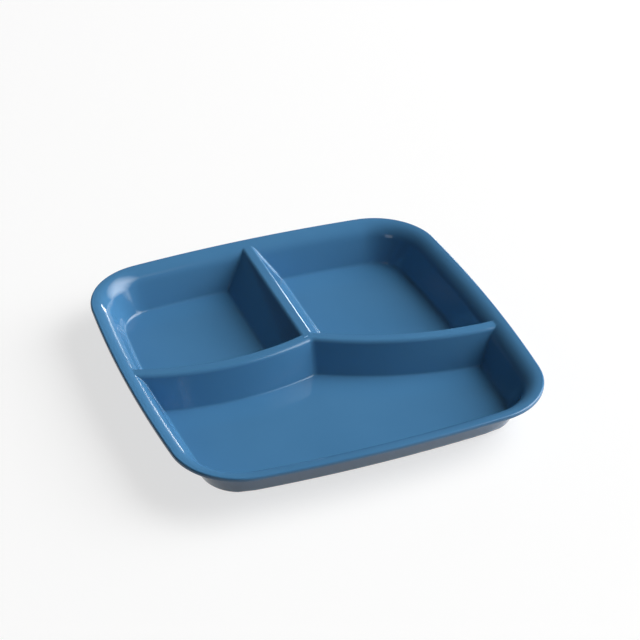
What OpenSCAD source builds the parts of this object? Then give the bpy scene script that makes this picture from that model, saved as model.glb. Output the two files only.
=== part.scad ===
// Square plate with three compartments, moulded in one piece from glossy plastic.
// X runs to the right and Y to the back. Z = 0 is the table, and the origin is under the
// middle of the plate. The dividers are hollow from beneath, with the same wall as the rest.

/* [Plate] */
// Width and depth over the middles of the bowed sides
plate_side = 230; // [190:1:300]
// Height from the table to the top of the rim
plate_h = 26.5; // [24:0.5:34]
// Radius of the outline's corners
corner_r = 41; // [34:1:55]
// How far the middle of a side stands out past its ends
side_bow = 3; // [1.5:0.5:6]
// Thickness of the wall, the floor and the dividers
wall_t = 2.4; // [1.8:0.1:2.4]

/* [Rim] */
// Radius on the rim's outer top edge
rim_edge_r = 1.2; // [0.8:0.1:1.5]
// Height of the lip's outer face
lip_h = 3.4; // [3:0.1:4.5]
// Width of the lip, from its outer face to the brim
lip_w = 3; // [2.5:0.1:3.3]
// Radius under the lip
lip_under_r = 0.6; // [0.3:0.1:0.8]
// Width of the rim and the brim, as far as the shoulder
brim_w = 3.5; // [3.5:0.5:5.5]
// Fall of the brim towards the middle, in degrees
brim_fall = 6; // [4:1:10]

/* [Side wall] */
// Radius of the shoulder between the brim and the wall
shoulder_r = 12; // [7:0.5:13]
// Distance from the outline to the flat floor
floor_inset = 21.7; // [20:0.1:28]
// Fillet between the wall and the floor
floor_r = 4.5; // [3:0.5:6]

/* [Foot] */
// Height of the foot ring under the floor
foot_h = 1.5; // [1:0.1:2.5]
// Width of the foot ring
foot_w = 3; // [2:0.5:5]
// Distance from the start of the flat floor to the foot ring
foot_setback = 2.5; // [1:0.5:8]
// Radius on the foot ring's lower edges
foot_edge_r = 0.6; // [0.3:0.1:0.9]

/* [Dividers] */
// Depth of the dividers' flat tops under the rim
land_drop = 1.6; // [1:0.1:4]
// Width of the flat top
land_w = 3.6; // [2.4:0.1:6]
// Radius on the edges of the tops
edge_r = 2.8; // [2.5:0.1:3.5]
// Draft of the two curved arms, in degrees
arm_draft = 17.5; // [8:0.5:22]
// Fillet at the foot of the arms
arm_fillet = 2.5; // [1.5:0.5:4]
// How far the back divider's top lies under the tops of the arms
back_step = 0.2; // [0.1:0.1:1]
// Draft of the back divider, in degrees
back_draft = 34; // [15:1:36]
// Fillet at the foot of the back divider
back_fillet = 6; // [3:0.5:8]
// Slope at which the dividers' fillets run out on the floor, in degrees
runout = 12; // [8:1:18]
// Place of the back divider's middle from the plate's middle
back_x = -0.7; // [-10:0.1:10]
// Place where the arms meet, to the right of the plate's middle
junction_x = 0.7; // [-6:0.1:6]
// Place where the arms meet, behind the plate's middle
junction_y = 4.6; // [-5:0.1:12]
// Distance from a side's middle in to the end of an arm's centre line
arm_end_inset = 9; // [7:0.5:12]
// Place of the left arm's end, behind the plate's middle
left_end_y = 6; // [-15:0.5:15]
// Place of the right arm's end, in front of the plate's middle
right_end_y = 24; // [5:0.5:30]
// Bow of the left arm towards the front
left_bow = 9; // [5:0.5:14]
// Bow of the right arm towards the front
right_bow = 7.3; // [5:0.1:14]

/* [Hidden] */
plate_colour = "#467daa";
overrun = 10;
mitre_lap = 0.01;
shoulder_steps = 8;
edge_steps = 7;
fillet_steps = 7;
fine = 96;
long_arc_fine = 1440;

// The outline: four wide side arcs, tangent to four corner arcs
half_side = plate_side / 2;
side_half_run = half_side - corner_r;
whole_side_r = (side_half_run ^ 2 + side_bow ^ 2) / (2 * side_bow);
centres_gap = round(100 * (whole_side_r - corner_r)) / 100;
side_r = centres_gap + corner_r;
side_centre = half_side - side_r;
corner_centre = (side_centre + sqrt(2 * centres_gap ^ 2 - side_centre ^ 2)) / 2;
side_angle = atan2(corner_centre, corner_centre - side_centre);

// The wall's section: x is the distance out from the outline, so that all of it is below zero
floor_top = foot_h + wall_t;
rim_centre = [-rim_edge_r, plate_h - rim_edge_r];
brim_start = rim_centre + polar(rim_edge_r, 90 + brim_fall);
shoulder_centre = [-brim_w, brim_height(brim_w)] - polar(shoulder_r, 90 + brim_fall);
floor_centre = [-floor_inset, floor_top + floor_r];
centres_apart = shoulder_centre - floor_centre;
wall_slope = atan2(centres_apart[1], centres_apart[0]) + asin((shoulder_r + floor_r) / norm(centres_apart));

// The dividers' centre lines
land_z = plate_h - land_drop;
junction = [junction_x, junction_y];
left_end = [arm_end_inset - half_side, left_end_y];
right_end = [half_side - arm_end_inset, -right_end_y];
left_r = bow_radius(left_end, junction, left_bow);
left_centre = bow_centre(left_end, junction, left_bow);
right_r = bow_radius(junction, right_end, right_bow);
right_centre = bow_centre(junction, right_end, right_bow);
arm = [land_z, arm_draft, arm_fillet];
back = [land_z - back_step, back_draft, back_fillet];
arm_foot_w = foot_reach(arm);
back_foot_w = foot_reach(back);
left_heading = heading(left_centre, junction) + 90;
right_heading = heading(right_centre, junction) + 90;
mitre_angle = (left_heading + right_heading) / 2;

function polar(r, a) = [r * cos(a), r * sin(a)];
function heading(from, to) = atan2(to[1] - from[1], to[0] - from[0]);

// Points on an arc, in even steps
function arc_points(centre, r, a, b, steps) =
    [for (i = [0 : steps]) centre + polar(r, a + (b - a) * i / steps)];

function reversed(points) = [for (i = [len(points) - 1 : -1 : 0]) points[i]];
function mirrored(points) = [for (p = points) [-p[0], p[1]]];

// Height of the brim's upper face at a distance in from the outline
function brim_height(inset) = brim_start[1] - (inset + brim_start[0]) * tan(brim_fall);

// Radius and centre of an arc from p to q that bows by s towards the front
function bow_radius(p, q, s) = (norm(q - p) ^ 2 / 4 + s ^ 2) / (2 * s);
function bow_centre(p, q, s) = (p + q) / 2 + (bow_radius(p, q, s) - s) * polar(1, heading(p, q) + 90);

// A divider is given by the height of its top, its draft and its foot fillet. Here are the
// centre of the round on its top edge, the length of its face and the centre of its foot fillet
function edge_centre(d) = [land_w / 2, d[0] - edge_r];
function face_run(d) =
    (edge_centre(d)[1] + (edge_r + d[2]) * sin(d[1]) - floor_top - d[2] * cos(runout)) / cos(d[1]);
function foot_centre(d) =
    edge_centre(d) + polar(edge_r + d[2], d[1]) + polar(face_run(d), d[1] - 90);
function foot_reach(d) = foot_centre(d)[0] - d[2] * sin(runout);

// The right face of a divider from the top's edge to the foot, at a depth behind its outer face
function divider_face(d, depth) = concat(
    arc_points(edge_centre(d), edge_r - depth, 90, d[1], edge_steps),
    arc_points(foot_centre(d), d[2] + depth, 180 + d[1], 270 - runout, fillet_steps)
);

// Part of a ring about the origin, from angle a to angle b
module ring_part(r_in, r_out, a, b) {
    intersection() {
        difference() {
            circle(r_out, $fn = fine);
            if (r_in > 0) circle(r_in, $fn = fine);
        }
        rotate(a) translate([-plate_side, 0]) square([2 * plate_side, plate_side]);
        rotate(b) translate([-plate_side, -plate_side]) square([2 * plate_side, plate_side]);
    }
}

// The eighth of the plan between a side's middle and a corner's middle
module eighth_plan() {
    polygon([[0, 0], [plate_side, 0], [plate_side, plate_side]]);
}

// Turns and mirrors an eighth to make the whole
module eight_times() {
    for (turn = [0 : 90 : 270])
        rotate(turn) {
            children();
            mirror([1, -1, 0]) children();
        }
}

// The area inside the plate's outline, drawn in by an inset
module outline_area(inset) {
    eight_times()
        intersection() {
            eighth_plan();
            translate([corner_centre, corner_centre])
                rotate(side_angle) {
                    intersection() {
                        circle(corner_r - inset, $fn = fine);
                        translate([-plate_side, 0]) square([2 * plate_side, plate_side]);
                    }
                    intersection() {
                        translate([-centres_gap, 0]) circle(side_r - inset, $fn = long_arc_fine);
                        translate([-plate_side, -2 * plate_side]) square(2 * plate_side);
                    }
                }
        }
}

// Sweeps a section round the whole outline: half a side and half a corner, eight times
module round_outline() {
    eight_times()
        intersection() {
            translate([corner_centre, corner_centre, 0])
                rotate(side_angle) {
                    rotate_extrude(angle = 60, $fn = 2 * fine)
                        translate([corner_r, 0]) children();
                    translate([-centres_gap, 0, 0])
                        mirror([0, 1, 0])
                            rotate_extrude(angle = 2 * side_angle, $fn = long_arc_fine)
                                translate([side_r, 0]) children();
                }
            translate([0, 0, -2 * overrun])
                linear_extrude(plate_h + 4 * overrun) eighth_plan();
        }
}

// Sweeps a section along one side of the outline, turned to face that side
module along_side(turn) {
    rotate(turn)
        translate([side_centre, 0, 0])
            rotate_extrude(angle = 2 * side_angle, start = -side_angle, $fn = long_arc_fine)
                translate([side_r, 0]) children();
}

module lip_section() {
    under_centre = [-lip_under_r, plate_h - lip_h + lip_under_r];
    translate(rim_centre) ring_part(0, rim_edge_r, 0, 90 + brim_fall);
    translate(under_centre) ring_part(0, lip_under_r, -90, 0);
    polygon([
        rim_centre, brim_start, [-lip_w, brim_height(lip_w)], [-lip_w, plate_h - lip_h],
        [under_centre[0], plate_h - lip_h], under_centre, [0, under_centre[1]], [0, rim_centre[1]]
    ]);
}

// A face of the wall from the brim to the floor, at a depth behind its inner face
function wall_face(depth) = concat(
    [[-lip_w, brim_height(lip_w) - depth / cos(brim_fall)]],
    arc_points(shoulder_centre, shoulder_r - depth, 90 + brim_fall, 90 + wall_slope, shoulder_steps),
    arc_points(floor_centre, floor_r + depth, wall_slope - 90, -90, fillet_steps)
);

// The wall from the lip to the floor: brim, shoulder, slope and fillet
module wall_section() {
    polygon(concat(wall_face(0), reversed(wall_face(wall_t))));
}

// All that lies under and outside the wall's inner face, which the dividers stop at
module beyond_wall_section() {
    polygon(concat(
        [[overrun, plate_h + overrun], [-lip_w, plate_h + overrun]],
        wall_face(0),
        [[-floor_inset, -overrun], [overrun, -overrun]]
    ));
}

module foot_section() {
    out = -floor_inset - foot_setback;
    in = out - foot_w;
    translate([out - foot_edge_r, foot_edge_r]) ring_part(0, foot_edge_r, -90, 0);
    translate([in + foot_edge_r, foot_edge_r]) ring_part(0, foot_edge_r, 180, 270);
    polygon([
        [in, foot_h], [in, foot_edge_r], [in + foot_edge_r, foot_edge_r], [in + foot_edge_r, 0],
        [out - foot_edge_r, 0], [out - foot_edge_r, foot_edge_r], [out, foot_edge_r], [out, foot_h]
    ]);
}

// A divider's hollow section: flat top, rounded edges, drafted faces and foot fillets
module divider_section(d) {
    outer = divider_face(d, 0);
    inner = divider_face(d, wall_t);
    polygon(concat(
        reversed(mirrored(outer)), outer, [[foot_reach(d), foot_h]],
        reversed(inner), mirrored(inner), [[-foot_reach(d), foot_h]]
    ));
}

// The same section with its hollow filled, and all that lies under it
module solid_divider_section(d) {
    outer = divider_face(d, 0);
    polygon(concat(
        reversed(mirrored(outer)), outer, [[foot_reach(d), -overrun], [-foot_reach(d), -overrun]]
    ));
}

// Sweeps a section along an arm's arc, past both ends by the width of its foot
module along_arc(centre, r, from, to) {
    extra = arm_foot_w / r * 180 / PI;
    first = heading(centre, from) - extra;
    last = heading(centre, to) + extra;
    translate([centre[0], centre[1], 0])
        rotate_extrude(angle = last - first, start = first, $fn = long_arc_fine)
            translate([r, 0]) children();
}

// The half of space to one side of the joint between the two arms, and a lap past it
module mitre_half(side, lap) {
    reach = 2 * plate_side;
    translate([junction[0], junction[1], -overrun])
        rotate(mitre_angle)
            translate([side > 0 ? -lap : lap - reach, -reach / 2, 0])
                cube([reach, reach, plate_h + 2 * overrun]);
}

module left_arm_sweep(lap = 0) {
    intersection() {
        along_arc(left_centre, left_r, left_end, junction) children();
        mitre_half(-1, lap);
    }
}

module right_arm_sweep(lap = 0) {
    intersection() {
        along_arc(right_centre, right_r, junction, right_end) children();
        mitre_half(1, lap);
    }
}

// An arm's filled section and all that lies in front of its middle
module arm_and_front_section() {
    solid_divider_section(arm);
    translate([0, -overrun]) square([2 * back_foot_w, plate_h + 2 * overrun]);
}

// The flat floors of the three compartments, in plan
module front_plan() {
    difference() {
        outline_area(floor_inset);
        translate(left_centre) circle(left_r + arm_foot_w, $fn = long_arc_fine);
        translate(right_centre) circle(right_r + arm_foot_w, $fn = long_arc_fine);
    }
}

module back_left_plan() {
    intersection() {
        outline_area(floor_inset);
        translate(left_centre) circle(left_r - arm_foot_w, $fn = long_arc_fine);
        translate([back_x - back_foot_w - plate_side, -half_side]) square(plate_side);
    }
}

module back_right_plan() {
    intersection() {
        outline_area(floor_inset);
        translate(right_centre) circle(right_r - arm_foot_w, $fn = long_arc_fine);
        translate([back_x + back_foot_w, -half_side]) square(plate_side);
    }
}

module floor_over() {
    translate([0, 0, foot_h]) linear_extrude(wall_t) children();
}

module foot_under() {
    intersection() {
        round_outline() foot_section();
        translate([0, 0, -overrun]) linear_extrude(foot_h + 2 * overrun) children();
    }
}

module rim_lip() {
    color(plate_colour) round_outline() lip_section();
}

module side_wall() {
    color(plate_colour) round_outline() wall_section();
}

module front_floor() {
    color(plate_colour) floor_over() front_plan();
}

module back_left_floor() {
    color(plate_colour) floor_over() back_left_plan();
}

module back_right_floor() {
    color(plate_colour) floor_over() back_right_plan();
}

module left_divider() {
    color(plate_colour)
        difference() {
            left_arm_sweep() divider_section(arm);
            along_side(180) beyond_wall_section();
        }
}

module right_divider() {
    color(plate_colour)
        difference() {
            right_arm_sweep() divider_section(arm);
            along_side(0) beyond_wall_section();
        }
}

module back_divider() {
    color(plate_colour)
        difference() {
            translate([back_x, half_side, 0])
                rotate([90, 0, 0])
                    linear_extrude(half_side - junction_y + 2 * arm_foot_w) divider_section(back);
            left_arm_sweep(mitre_lap) arm_and_front_section();
            right_arm_sweep(mitre_lap) arm_and_front_section();
            along_side(90) beyond_wall_section();
        }
}

module front_foot() {
    color(plate_colour) foot_under() front_plan();
}

module back_left_foot() {
    color(plate_colour) foot_under() back_left_plan();
}

module back_right_foot() {
    color(plate_colour) foot_under() back_right_plan();
}

rim_lip();
side_wall();
front_floor();
back_left_floor();
back_right_floor();
left_divider();
right_divider();
back_divider();
front_foot();
back_left_foot();
back_right_foot();
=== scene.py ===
import math

import bpy
import numpy as np
from mathutils import Matrix, Vector


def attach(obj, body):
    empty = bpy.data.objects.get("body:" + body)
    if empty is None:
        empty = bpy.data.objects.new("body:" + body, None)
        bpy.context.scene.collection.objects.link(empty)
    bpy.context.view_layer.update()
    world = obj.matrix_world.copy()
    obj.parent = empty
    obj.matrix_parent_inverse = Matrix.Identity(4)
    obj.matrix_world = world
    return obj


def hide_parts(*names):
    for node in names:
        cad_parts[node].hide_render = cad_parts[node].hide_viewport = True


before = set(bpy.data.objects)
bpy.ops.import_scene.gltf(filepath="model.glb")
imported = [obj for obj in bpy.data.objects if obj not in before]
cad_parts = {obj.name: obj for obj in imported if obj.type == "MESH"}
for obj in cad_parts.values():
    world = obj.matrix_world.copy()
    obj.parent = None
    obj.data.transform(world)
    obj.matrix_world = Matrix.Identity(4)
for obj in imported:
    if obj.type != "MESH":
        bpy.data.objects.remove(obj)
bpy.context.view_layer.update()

# Sizes in millimetres. They are the CAD source's, apart from what was fitted to the photograph more closely:
# a thinner rim without a step behind it, a narrower brim, a rounder shoulder, a floor that reaches a little
# nearer to the rim, tighter fillets at the foot of the wall and of the dividers, slightly more draft on the
# dividers, and a back divider as high as the arms
PLATE_SIDE, PLATE_H, CORNER_R, SIDE_BOW, WALL_T = 230.0, 26.5, 41.0, 3.0, 2.4
RIM_EDGE_R, RIM_UNDER_R, RIM_H = 1.1, 0.6, 2.5
BRIM_W, BRIM_FALL, SHOULDER_R = 2.5, math.radians(6), 12.5
FLOOR_INSET, FLOOR_R, FOOT_H = 21.3, 2.4, 1.5
FLOOR_TOP = FOOT_H + WALL_T

# The dividers' flat tops, called lands: how far they lie under the rim, their width and their edges' radius
LAND_DROP, LAND_W, EDGE_R = 1.6, 3.6, 2.8
LAND_Z = PLATE_H - LAND_DROP
# Draft of the faces and fillet at their foot, for the two curved arms at the front and for the back divider
ARM = (math.radians(18), 1.6)
BACK = (math.radians(36), 2.4)
BACK_X = -0.7
JUNCTION = np.array((0.7, 4.6))
LEFT_END = np.array((-106.0, 6.0))
RIGHT_END = np.array((106.0, -24.0))
LEFT_BOW, RIGHT_BOW = 9.0, 7.3
# Softening of the corner between the arms, and the slope on which the hollows under the dividers end
ARM_CORNER, HOLLOW_SLOPE = 1.6, 3.5

# The fillet where steep faces meet, by height over the floor: its width comes in over CREASE_START, gains up
# to CREASE_MORE over CREASE_GROWTH, and loses that again over the CREASE_FADE below CREASE_TOP
CREASE_LEAST, CREASE_MORE = 0.4, 1.8
CREASE_START, CREASE_GROWTH, CREASE_FADE, CREASE_TOP = 1.5, 4, 6, LAND_Z - FLOOR_TOP - 1

# The outline: four wide side arcs and four corner arcs
HALF = PLATE_SIDE / 2
SIDE_RUN = HALF - CORNER_R
GAP = round(100 * ((SIDE_RUN**2 + SIDE_BOW**2) / (2 * SIDE_BOW) - CORNER_R)) / 100
SIDE_R = GAP + CORNER_R
SIDE_C = HALF - SIDE_R
CORNER_C = (SIDE_C + math.sqrt(2 * GAP**2 - SIDE_C**2)) / 2
SIDE_A = math.atan2(CORNER_C, CORNER_C - SIDE_C)
HALF_CORNER = CORNER_R * (math.pi / 4 - SIDE_A)
SIDE_LEN = 2 * SIDE_A * SIDE_R
QUARTER = 2 * HALF_CORNER + SIDE_LEN
TURNS = {"right": 0, "top": 1, "left": 2, "bottom": 3}


def edge_point(side, s, inset):
    """Points on the outline drawn in by an inset, and their outward normals, by length s along a quarter."""
    s = np.asarray(s, float)
    low, high = s < HALF_CORNER, s > HALF_CORNER + SIDE_LEN
    low_angle = -math.pi / 4 + s / CORNER_R
    side_angle = -SIDE_A + (s - HALF_CORNER) / SIDE_R
    high_angle = SIDE_A + (s - HALF_CORNER - SIDE_LEN) / CORNER_R
    angle = np.where(low, low_angle, np.where(high, high_angle, side_angle))
    corner = low | high
    cx = np.where(corner, CORNER_C, SIDE_C)
    cy = np.where(low, -CORNER_C, np.where(high, CORNER_C, 0))
    r = np.where(corner, CORNER_R, SIDE_R) - inset
    n = np.stack([np.cos(angle), np.sin(angle)], -1)
    p = np.stack([cx, cy], -1) + r[..., None] * n
    for _ in range(TURNS[side]):
        p = np.stack([-p[..., 1], p[..., 0]], -1)
        n = np.stack([-n[..., 1], n[..., 0]], -1)
    return p, n


def inset_at(x, y):
    """How far points lie inside the outline."""
    a, b = np.abs(x), np.abs(y)
    a, b = np.maximum(a, b), np.minimum(a, b)
    corner = (b - CORNER_C) * math.cos(SIDE_A) > (a - CORNER_C) * math.sin(SIDE_A)
    return np.where(
        corner,
        CORNER_R - np.hypot(a - CORNER_C, b - CORNER_C),
        SIDE_R - np.hypot(a - SIDE_C, b),
    )


# The wall's profile, by inset
BRIM_T = RIM_EDGE_R * (1 + math.sin(BRIM_FALL))
BRIM_Z = PLATE_H - RIM_EDGE_R + RIM_EDGE_R * math.cos(BRIM_FALL)


def brim_z(t):
    return BRIM_Z - (t - BRIM_T) * math.tan(BRIM_FALL)


SHOULDER_C = (
    BRIM_W - SHOULDER_R * math.sin(BRIM_FALL),
    brim_z(BRIM_W) - SHOULDER_R * math.cos(BRIM_FALL),
)
FLOOR_C = (FLOOR_INSET, FLOOR_TOP + FLOOR_R)
APART = (FLOOR_C[0] - SHOULDER_C[0], SHOULDER_C[1] - FLOOR_C[1])
SLOPE = math.atan2(APART[1], APART[0]) + math.asin((SHOULDER_R + FLOOR_R) / math.hypot(*APART))


def wall_z(t, depth):
    """Height of the wall at an inset, at a depth behind its inner face."""
    r, q = SHOULDER_R - depth, FLOOR_R + depth
    face_t = SHOULDER_C[0] + r * math.sin(SLOPE)
    face_z = SHOULDER_C[1] + r * math.cos(SLOPE)
    fillet_t = FLOOR_C[0] - q * math.sin(SLOPE)
    return np.select(
        [t < SHOULDER_C[0] + r * math.sin(BRIM_FALL), t < face_t, t < fillet_t, t < FLOOR_C[0]],
        [
            brim_z(t) - depth / math.cos(BRIM_FALL),
            SHOULDER_C[1] + np.sqrt(np.maximum(r**2 - (t - SHOULDER_C[0]) ** 2, 0)),
            face_z - (t - face_t) * math.tan(SLOPE),
            FLOOR_C[1] - np.sqrt(np.maximum(q**2 - (FLOOR_C[0] - t) ** 2, 0)),
        ],
        FLOOR_TOP - depth,
    )


def divider_z(d, form, depth):
    """Height of a divider at a distance from its middle line, at a depth behind its outer face."""
    draft, fillet = form
    d = np.abs(d)
    r, q = EDGE_R - depth, fillet + depth
    cx, cz = LAND_W / 2, LAND_Z - EDGE_R
    run = (cz + (EDGE_R + fillet) * math.sin(draft) - FLOOR_TOP - fillet) / math.cos(draft)
    fx = cx + (EDGE_R + fillet) * math.cos(draft) + run * math.sin(draft)
    fz = FLOOR_TOP + fillet
    face_x, face_z = cx + r * math.cos(draft), cz + r * math.sin(draft)
    return np.select(
        [d < cx, d < face_x, d < fx - q * math.cos(draft), d < fx],
        [
            np.full_like(d, LAND_Z - depth),
            cz + np.sqrt(np.maximum(r**2 - (d - cx) ** 2, 0)),
            face_z - (d - face_x) / math.tan(draft),
            fz - np.sqrt(np.maximum(q**2 - (fx - d) ** 2, 0)),
        ],
        FLOOR_TOP - depth,
    )


def bowed(p, q, bow):
    """Centre and radius of an arc from p to q that bows to the front."""
    chord = np.linalg.norm(q - p)
    r = (chord**2 / 4 + bow**2) / (2 * bow)
    along = (q - p) / chord
    return (p + q) / 2 + (r - bow) * np.array((-along[1], along[0])), r


LEFT_C, LEFT_R = bowed(LEFT_END, JUNCTION, LEFT_BOW)
RIGHT_C, RIGHT_R = bowed(JUNCTION, RIGHT_END, RIGHT_BOW)


def front_of_arms(x, y):
    """Distance in front of the arms' middle lines, with the corner where they meet a little softened."""
    a = np.hypot(x - LEFT_C[0], y - LEFT_C[1]) - LEFT_R
    b = np.hypot(x - RIGHT_C[0], y - RIGHT_C[1]) - RIGHT_R
    h = np.maximum(ARM_CORNER - np.abs(a - b), 0) / ARM_CORNER
    return np.minimum(a, b) - h**2 * ARM_CORNER / 4


def joined(a, b):
    """The higher of two heights, with a fillet where their steep faces meet."""
    low = np.minimum(a, b) - FLOOR_TOP
    growth = np.clip(low / CREASE_GROWTH, 0, 1)
    fade = np.clip((CREASE_TOP - low) / CREASE_FADE, 0, 1)
    k = CREASE_LEAST + CREASE_MORE * growth * fade
    k = k * np.clip(low / CREASE_START, 0, 1) + 1e-6
    h = np.maximum(k - np.abs(a - b), 0) / k
    return np.maximum(a, b) + h**2 * k / 4


def top_z(x, y):
    d = front_of_arms(x, y)
    back = np.where(d < 0, divider_z(x - BACK_X, BACK, 0), FLOOR_TOP)
    arms = joined(divider_z(d, ARM, 0), back)
    return joined(arms, wall_z(inset_at(x, y), 0))


def under_z(x, y):
    t, d = inset_at(x, y), front_of_arms(x, y)
    back = np.where(d < 0, divider_z(x - BACK_X, BACK, WALL_T), FOOT_H)
    hollow = np.maximum(divider_z(d, ARM, WALL_T), back)
    hollow = np.minimum(hollow, FOOT_H + HOLLOW_SLOPE * (t - FLOOR_INSET))
    return np.where(t < FLOOR_INSET, wall_z(t, WALL_T), np.maximum(hollow, FOOT_H))


# The grid: its lines follow the walls, the arms and the back divider, and lie close together on them. The
# band lies along the arms and the core along the back divider: half their widths and their numbers of lines
BAND, BAND_LINES = 14.0, 69
CORE, CORE_LINES = 24.0, 97
# From a side to the band or the core the lines lie closest where the wall's foot runs. Each stretch has its
# first and last share of the way and its number of steps
STRETCHES = ((0, 0.03, 4), (0.03, 0.13, 11), (0.13, 0.36, 59), (0.36, 1, 12))
# Insets on which the lines of the core and of the band are placed, and the number of points looked up there
CORE_INSET, BAND_INSET, LOOKUPS = 6.0, 8.0, 4001
# Inset at which the underside's grid ends, half the step between the heights that give a normal, and a place
# further back than any point
UNDER_INSET, HALF_STEP, FAR = 3.05, 0.03, 1e3
# Steps on the two arcs of the rim's section
RIM_EDGE_STEPS, RIM_UNDER_STEPS = 10, 5

side_share = np.append(np.concatenate([np.linspace(a, b, n + 1)[:-1] for a, b, n in STRETCHES]), 1)
n_side = len(side_share) - 1


def with_sides(start, middle, end):
    """The middle lines' places, with those of the lines between them and a side at the start and the end."""
    before = start + side_share[:-1] * (middle[0] - start)
    after = end - side_share[::-1] * (end - middle[-1])
    return np.concatenate([before, middle, after[1:]])


core_x = BACK_X + np.linspace(-CORE, CORE, CORE_LINES)
band_d = np.linspace(BAND, -BAND, BAND_LINES)
lengths = np.linspace(0, QUARTER, LOOKUPS)
core_edge_x = edge_point("bottom", lengths, CORE_INSET)[0][:, 0]
col_s = with_sides(0, np.interp(core_x, core_edge_x, lengths), QUARTER)


def row_lengths(side):
    """Lengths up a side, from its front end, at which the grid's rows meet it."""
    s = QUARTER - lengths if side == "left" else lengths
    p = edge_point(side, s, BAND_INSET)[0]
    d = front_of_arms(p[:, 0], p[:, 1])
    return with_sides(0, np.interp(-band_d, -d, lengths), QUARTER)


left_s, right_s = row_lengths("left"), row_lengths("right")
n_row, n_col = len(left_s), len(col_s)


def band_row(d, a, b):
    """The row at a distance in front of the arms, from a point a at the left to a point b at the right."""
    x = with_sides(a[0], core_x, b[0])
    ys = []
    for c, r in ((LEFT_C, LEFT_R), (RIGHT_C, RIGHT_R)):
        under = (r + d) ** 2 - (x - c[0]) ** 2
        ys.append(np.where(under > 0, c[1] - np.sqrt(np.maximum(under, 0)), FAR))
    row = np.stack([x, np.minimum(*ys)], -1)
    row[0], row[-1] = a, b
    return row


def grid_points(inset):
    """The grid's points in plan, out to an inset from the outline."""
    bottom = edge_point("bottom", col_s, inset)[0]
    top = edge_point("top", QUARTER - col_s, inset)[0]
    left = edge_point("left", QUARTER - left_s, inset)[0]
    right = edge_point("right", right_s, inset)[0]
    p = np.zeros((n_row, n_col, 2))
    first, last = n_side, n_side + BAND_LINES - 1
    for j, d in enumerate(band_d, first):
        p[j] = band_row(d, left[j], right[j])
    fade_l = np.zeros(n_col)
    fade_l[: n_side + 1] = 1 - side_share
    fade_r = fade_l[::-1]
    for rows, start, end in (
        (range(0, first), bottom, p[first].copy()),
        (range(last + 1, n_row), p[last].copy(), top),
    ):
        for j in rows:
            w = side_share[j] if j < first else 1 - side_share[::-1][j - last]
            line = (1 - w) * start + w * end
            p[j] = line + fade_l[:, None] * (left[j] - line[0]) + fade_r[:, None] * (right[j] - line[-1])
    p[0], p[-1] = bottom, top
    return p


def height_grid(inset, height):
    """The grid's points at the heights that a function gives, and the function's normals, which point up."""
    p = grid_points(inset)
    x, y = p[..., 0], p[..., 1]
    e = HALF_STEP
    gx = (height(x + e, y) - height(x - e, y)) / (2 * e)
    gy = (height(x, y + e) - height(x, y - e)) / (2 * e)
    n = np.stack([-gx, -gy, np.ones_like(gx)], -1)
    n /= np.linalg.norm(n, axis=-1, keepdims=True)
    return np.concatenate([p, height(x, y)[..., None]], -1), n


def border(grid):
    """A grid's outer vertices in one loop, anticlockwise from above."""
    return np.concatenate([grid[0, :-1], grid[:-1, -1], grid[-1, :0:-1], grid[:0:-1, 0]])


def quads(ids):
    return np.stack([ids[:-1, :-1], ids[:-1, 1:], ids[1:, 1:], ids[1:, :-1]], -1).reshape(-1, 4)


def rim_section():
    """Rows from the brim to the rim's underside: inset, height, and the normal's outward and upward parts."""
    rows = []
    for a in np.linspace(math.pi / 2 + BRIM_FALL, 0, RIM_EDGE_STEPS + 1)[1:]:
        inset = RIM_EDGE_R * (1 - math.cos(a))
        z = PLATE_H - RIM_EDGE_R * (1 - math.sin(a))
        rows.append((inset, z, math.cos(a), math.sin(a)))
    low = PLATE_H - RIM_H + RIM_UNDER_R
    for a in np.radians(np.linspace(0, -90, RIM_UNDER_STEPS + 1)):
        inset = RIM_UNDER_R * (1 - math.cos(a))
        z = low + RIM_UNDER_R * math.sin(a)
        rows.append((inset, z, math.cos(a), math.sin(a)))
    return rows


# The skin is one closed mesh, first the grid of the top
top_p, top_n = height_grid(BRIM_T, top_z)
count = n_row * n_col
top_ids = np.arange(count).reshape(n_row, n_col)
verts = [top_p.reshape(-1, 3)]
norms = [top_n.reshape(-1, 3)]
faces = [quads(top_ids)]

# The rings of the rim
around = [
    ("bottom", col_s[:-1]),
    ("right", right_s[:-1]),
    ("top", QUARTER - col_s[:0:-1]),
    ("left", QUARTER - left_s[:0:-1]),
]
ring_ids = border(top_ids)
for t, z, out, up in rim_section():
    sides = [edge_point(side, s, t) for side, s in around]
    p = np.concatenate([points for points, _ in sides])
    n = np.concatenate([normals for _, normals in sides])
    verts.append(np.concatenate([p, np.full((len(p), 1), z)], 1))
    norms.append(np.concatenate([n * out, np.full((len(p), 1), up)], 1))
    ids = count + np.arange(len(p))
    faces.append(np.stack([ring_ids, ids, np.roll(ids, -1), np.roll(ring_ids, -1)], -1))
    ring_ids = ids
    count += len(p)

# The underside has every second line, so each edge of its border meets two of the last ring's in three
# triangles
under_p, under_n = (grid[::2, ::2] for grid in height_grid(UNDER_INSET, under_z))
under_ids = count + np.arange(under_p[..., 0].size).reshape(under_p.shape[:2])
verts.append(under_p.reshape(-1, 3))
norms.append(-under_n.reshape(-1, 3))
faces.append(quads(under_ids)[:, ::-1])
inner, next_inner = border(under_ids), np.roll(border(under_ids), -1)
outer, between, next_outer = ring_ids[::2], ring_ids[1::2], np.roll(ring_ids, -2)[::2]
seam = np.concatenate(
    [
        np.stack([outer, inner, between], -1),
        np.stack([between, inner, next_inner], -1),
        np.stack([between, next_inner, next_outer], -1),
    ]
)

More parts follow.
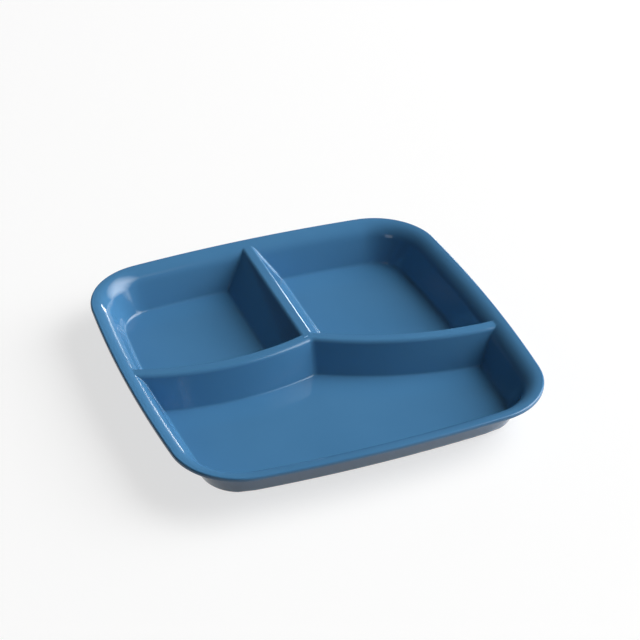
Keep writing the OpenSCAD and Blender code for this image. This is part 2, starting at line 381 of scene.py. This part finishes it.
# From millimetres to metres, and from quads and triangles to one list of corners with the start of each face
verts = np.concatenate(verts) / 1000
norms = np.concatenate(norms)
faces = np.concatenate(faces)
corners = np.concatenate([faces.ravel(), seam.ravel()])
starts = np.concatenate([np.arange(0, faces.size, 4), faces.size + np.arange(0, seam.size, 3)])

mesh = bpy.data.meshes.new("plate_skin")
mesh.vertices.add(len(verts))
mesh.vertices.foreach_set("co", verts.astype(np.float32).ravel())
mesh.loops.add(len(corners))
mesh.loops.foreach_set("vertex_index", corners.astype(np.int32))
mesh.polygons.add(len(starts))
mesh.polygons.foreach_set("loop_start", starts.astype(np.int32))
mesh.polygons.foreach_set("use_smooth", np.ones(len(starts), bool))
mesh.update(calc_edges=True)
mesh.validate()
mesh.normals_split_custom_set_from_vertices(norms.astype(np.float32).tolist())
plate = bpy.data.objects.new("plate_skin", mesh)
bpy.context.scene.collection.objects.link(plate)
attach(plate, "root")
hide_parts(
    "rim_lip",
    "side_wall",
    "front_floor",
    "back_left_floor",
    "back_right_floor",
    "left_divider",
    "right_divider",
    "back_divider",
)

# One glossy blue plastic for the skin and the foot ribs. Noise varies its blue, its gloss and, as a faint
# ripple, its surface
BLUES = (0.066, 0.213, 0.408, 1), (0.073, 0.229, 0.434, 1)
plastic = bpy.data.materials.new("glossy_blue_plastic")
plastic.use_nodes = True
tree = plastic.node_tree
shader = tree.nodes["Principled BSDF"]
shader.inputs["IOR"].default_value = 1.46
place = tree.nodes.new("ShaderNodeTexCoord")


def noise(scale, detail, roughness=0.5):
    node = tree.nodes.new("ShaderNodeTexNoise")
    node.inputs["Scale"].default_value = scale
    node.inputs["Detail"].default_value = detail
    node.inputs["Roughness"].default_value = roughness
    tree.links.new(place.outputs["Object"], node.inputs["Vector"])
    return node.outputs["Fac"]


def ramp(value, low, high, to_low, to_high):
    node = tree.nodes.new("ShaderNodeMapRange")
    node.inputs["From Min"].default_value = low
    node.inputs["From Max"].default_value = high
    node.inputs["To Min"].default_value = to_low
    node.inputs["To Max"].default_value = to_high
    tree.links.new(value, node.inputs["Value"])
    return node.outputs["Result"]


tint = tree.nodes.new("ShaderNodeMix")
tint.data_type = "RGBA"
tint.inputs["A"].default_value, tint.inputs["B"].default_value = BLUES
patches = ramp(noise(scale=14, detail=3), low=0.35, high=0.65, to_low=0, to_high=1)
gloss = ramp(noise(scale=60, detail=6, roughness=0.65), low=0.35, high=0.75, to_low=0.07, to_high=0.13)
ripple = tree.nodes.new("ShaderNodeBump")
ripple.inputs["Strength"].default_value = 0.05
ripple.inputs["Distance"].default_value = 0.0004
tree.links.new(patches, tint.inputs["Factor"])
tree.links.new(tint.outputs["Result"], shader.inputs["Base Color"])
tree.links.new(gloss, shader.inputs["Roughness"])
tree.links.new(noise(scale=240, detail=2), ripple.inputs["Height"])
tree.links.new(ripple.outputs["Normal"], shader.inputs["Normal"])
plate.data.materials.clear()
plate.data.materials.append(plastic)
for name in ("front_foot", "back_left_foot", "back_right_foot"):
    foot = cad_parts[name]
    foot.data.materials.clear()
    foot.data.materials.append(plastic)

# The floor, just under the foot ribs, shows white and still holds the shadow: a grey that the lamps light,
# and a glow that only camera, glossy and transmission rays see
FLOOR_COLOUR, FLOOR_GLOW, FLOOR_REACH, FLOOR_Z = 0.34, 0.68, 8, -0.0002
floor_corners = [(x * FLOOR_REACH, y * FLOOR_REACH, 0) for x, y in ((-1, -1), (1, -1), (1, 1), (-1, 1))]
floor_mesh = bpy.data.meshes.new("floor")
floor_mesh.from_pydata(floor_corners, [], [(0, 1, 2, 3)])
floor = bpy.data.objects.new("floor", floor_mesh)
floor.location.z = FLOOR_Z
bpy.context.scene.collection.objects.link(floor)
pale = bpy.data.materials.new("pale_floor")
pale.use_nodes = True
pale_tree = pale.node_tree
pale_tree.nodes.clear()


def maths(operation, value):
    """A Math node of the floor's material, with its first input linked to a value."""
    node = pale_tree.nodes.new("ShaderNodeMath")
    node.operation = operation
    pale_tree.links.new(value, node.inputs[0])
    return node


surface = pale_tree.nodes.new("ShaderNodeOutputMaterial")
both = pale_tree.nodes.new("ShaderNodeAddShader")
matt = pale_tree.nodes.new("ShaderNodeBsdfDiffuse")
matt.inputs["Color"].default_value = (FLOOR_COLOUR, FLOOR_COLOUR, FLOOR_COLOUR, 1)
glow = pale_tree.nodes.new("ShaderNodeEmission")
path = pale_tree.nodes.new("ShaderNodeLightPath")
direct = maths("MAXIMUM", path.outputs["Is Camera Ray"])
pale_tree.links.new(path.outputs["Is Glossy Ray"], direct.inputs[1])
seen = maths("MAXIMUM", direct.outputs[0])
pale_tree.links.new(path.outputs["Is Transmission Ray"], seen.inputs[1])
strength = maths("MULTIPLY", seen.outputs[0])
strength.inputs[1].default_value = FLOOR_GLOW
pale_tree.links.new(strength.outputs[0], glow.inputs["Strength"])
pale_tree.links.new(matt.outputs[0], both.inputs[0])
pale_tree.links.new(glow.outputs[0], both.inputs[1])
pale_tree.links.new(both.outputs[0], surface.inputs["Surface"])
floor.data.materials.append(pale)

# Dim, slightly warm surroundings
WORLD_COLOUR, WORLD_LEVEL = (1.0, 0.96, 0.88, 1), 0.04
world = bpy.data.worlds.new("studio")
bpy.context.scene.world = world
world.use_nodes = True
world.node_tree.nodes["Background"].inputs["Color"].default_value = WORLD_COLOUR
world.node_tree.nodes["Background"].inputs["Strength"].default_value = WORLD_LEVEL


def soft_box(name, azimuth, elevation, distance, size, level):
    """A rectangular lamp, seen from the plate at an azimuth from the back towards the right.

    Its power follows its area, so that the level alone sets how bright its face is.
    """
    a, e = math.radians(azimuth), math.radians(elevation)
    d = Vector((math.sin(a) * math.cos(e), math.cos(a) * math.cos(e), math.sin(e)))
    data = bpy.data.lights.new(name, "AREA")
    data.shape = "RECTANGLE"
    data.size, data.size_y = size
    data.energy = math.pi * size[0] * size[1] * level
    lamp = bpy.data.objects.new(name, data)
    lamp.location = d * distance
    lamp.rotation_euler = d.to_track_quat("Z", "Y").to_euler()
    bpy.context.scene.collection.objects.link(lamp)


# The key fades out towards its edges: five boxes, each within the last and a little nearer, because area
# lamps that lie in one plane lose light
KEY_BOXES, KEY_AWAY, KEY_NEARER, KEY_SIZE, KEY_SMALLER = 5, 4.0, 0.05, 4.8, (0.8, 0.7)
for step in range(KEY_BOXES):
    key_away = KEY_AWAY - KEY_NEARER * step
    key_size = (KEY_SIZE - KEY_SMALLER[0] * step, KEY_SIZE - KEY_SMALLER[1] * step)
    soft_box(f"key_{step}", azimuth=97, elevation=35, distance=key_away, size=key_size, level=1.51)
soft_box("back_strip", azimuth=38.5, elevation=12, distance=2.5, size=(0.1, 0.7), level=16)
soft_box("fill", azimuth=-125, elevation=32, distance=2.5, size=(0.7, 0.8), level=1.4)

# The camera, from the fit of the photograph's perspective
AZIMUTH, ELEVATION, ROLL = math.radians(-21.97), math.radians(34.58), math.radians(0.35)
TARGET, DISTANCE, LENS, SENSOR = Vector((0.02546, 0.05027, 0)), 1.34967, 123.26, 36
away = Vector(
    (
        math.sin(AZIMUTH) * math.cos(ELEVATION),
        -math.cos(AZIMUTH) * math.cos(ELEVATION),
        math.sin(ELEVATION),
    )
)
level_right = (-away).cross(Vector((0, 0, 1))).normalized()
level_up = level_right.cross(-away).normalized()
right = math.cos(ROLL) * level_right + math.sin(ROLL) * level_up
upward = -math.sin(ROLL) * level_right + math.cos(ROLL) * level_up
camera_data = bpy.data.cameras.new("camera")
camera_data.lens = LENS
camera_data.sensor_width = SENSOR
camera = bpy.data.objects.new("camera", camera_data)
turn = Matrix((right, upward, away)).transposed().to_4x4()
camera.matrix_world = Matrix.Translation(TARGET + away * DISTANCE) @ turn
bpy.context.scene.collection.objects.link(camera)
bpy.context.scene.camera = camera
bpy.context.scene.view_settings.view_transform = "Standard"
